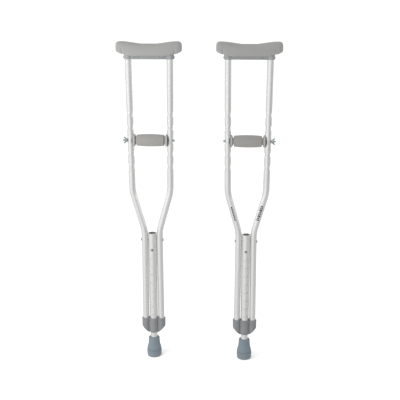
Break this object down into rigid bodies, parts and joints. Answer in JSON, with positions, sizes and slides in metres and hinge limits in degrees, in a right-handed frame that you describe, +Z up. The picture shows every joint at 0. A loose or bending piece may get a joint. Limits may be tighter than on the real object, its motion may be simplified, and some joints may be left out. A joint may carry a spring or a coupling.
{
  "type": "underarm crutches",
  "caption": "Pair of adjustable aluminium underarm crutches with padded armrests, bolted hand grips, telescoping spring-button legs and rubber tips.",
  "frame": {"origin": "on the floor midway between the two crutches, at the centre of the standing pair", "axes": "+Z up along the crutches, X across from the left crutch to the right one, each crutch frame in the XZ plane, front with the leg buttons towards -Y"},
  "size_m": [0.542, 0.0526, 1.118],
  "materials": {
    "tube_aluminium": "satin anodised",
    "rivet_aluminium": "plain",
    "zinc_steel": "zinc plated",
    "spring_steel": "oiled",
    "pad_foam": "matte moulded foam rubber",
    "grip_foam": "matte moulded foam rubber",
    "grey_plastic": "moulded, fine grain",
    "pale_plastic": "moulded, smooth",
    "tip_rubber": "moulded, matte"
  },
  "bodies": {
    "left_leg": {"left_leg_tube": "tube_aluminium", "left_spring_clip": "spring_steel", "left_rubber_tip": "tip_rubber", "left_tip_washer": "zinc_steel"},
    "left_frame": {"left_underarm_pad": "pad_foam", "left_saddle": "grey_plastic", "left_inner_upright": "tube_aluminium", "left_outer_upright": "tube_aluminium", "left_centre_tube": "tube_aluminium", "left_cross_rivet": "rivet_aluminium", "left_lower_bracket": "grey_plastic", "left_guide_bush": "pale_plastic", "left_grip_core": "pale_plastic", "left_grip_sleeve": "grip_foam", "left_inner_grip_cap": "grey_plastic", "left_outer_grip_cap": "grey_plastic", "left_inner_saddle_screw": "zinc_steel", "left_outer_saddle_screw": "zinc_steel", "left_inner_bracket_rivet": "rivet_aluminium", "left_outer_bracket_rivet": "rivet_aluminium", "left_grip_bolt": "zinc_steel"},
    "left_button": {"left_snap_button": "zinc_steel"},
    "left_washer": {"left_bolt_washer": "zinc_steel"},
    "left_nut": {"left_wing_nut": "zinc_steel"},
    "right_leg": {"right_leg_tube": "tube_aluminium", "right_spring_clip": "spring_steel", "right_rubber_tip": "tip_rubber", "right_tip_washer": "zinc_steel"},
    "right_frame": {"right_underarm_pad": "pad_foam", "right_saddle": "grey_plastic", "right_inner_upright": "tube_aluminium", "right_outer_upright": "tube_aluminium", "right_centre_tube": "tube_aluminium", "right_cross_rivet": "rivet_aluminium", "right_lower_bracket": "grey_plastic", "right_guide_bush": "pale_plastic", "right_grip_core": "pale_plastic", "right_grip_sleeve": "grip_foam", "right_inner_grip_cap": "grey_plastic", "right_outer_grip_cap": "grey_plastic", "right_inner_saddle_screw": "zinc_steel", "right_outer_saddle_screw": "zinc_steel", "right_inner_bracket_rivet": "rivet_aluminium", "right_outer_bracket_rivet": "rivet_aluminium", "right_grip_bolt": "zinc_steel"},
    "right_button": {"right_snap_button": "zinc_steel"},
    "right_washer": {"right_bolt_washer": "zinc_steel"},
    "right_nut": {"right_wing_nut": "zinc_steel"}
  },
  "joints": [
    {"name": "left_leg_slide", "type": "slide", "parent": "left_leg", "child": "left_frame", "axis": [0, 0, 1], "range_m": [0, 0.183]},
    {"name": "left_button_press", "type": "slide", "parent": "left_leg", "child": "left_button", "axis": [0, 1, 0], "range_m": [0, 0.0048], "stiffness_N_per_m": 1500, "springref_m": -0.003, "deforming": ["left_spring_clip"]},
    {"name": "left_nut_travel", "type": "slide", "parent": "left_frame", "child": "left_washer", "axis": [-1, 0, 0], "range_m": [0, 0.00381]},
    {"name": "left_nut_turn", "type": "hinge", "parent": "left_washer", "child": "left_nut", "pos_m": [-0.241, 0, 0.792], "axis": [-1, 0, 0], "range_deg": [0, 1081]},
    {"name": "pair_spread", "type": "slide", "parent": "left_leg", "child": "right_leg", "axis": [1, 0, 0], "range_m": [0, 0.3]},
    {"name": "right_leg_slide", "type": "slide", "parent": "right_leg", "child": "right_frame", "axis": [0, 0, 1], "range_m": [0, 0.183]},
    {"name": "right_button_press", "type": "slide", "parent": "right_leg", "child": "right_button", "axis": [0, 1, 0], "range_m": [0, 0.0048], "stiffness_N_per_m": 1500, "springref_m": -0.003, "deforming": ["right_spring_clip"]},
    {"name": "right_nut_travel", "type": "slide", "parent": "right_frame", "child": "right_washer", "axis": [1, 0, 0], "range_m": [0, 0.00381]},
    {"name": "right_nut_turn", "type": "hinge", "parent": "right_washer", "child": "right_nut", "pos_m": [0.241, 0, 0.792], "axis": [1, 0, 0], "range_deg": [0, 1081]}
  ],
  "couplings": [
    {"joint": "left_nut_turn", "follows": "left_nut_travel", "rad_per_m": 4947.4},
    {"joint": "right_nut_turn", "follows": "right_nut_travel", "rad_per_m": 4947.4}
  ]
}
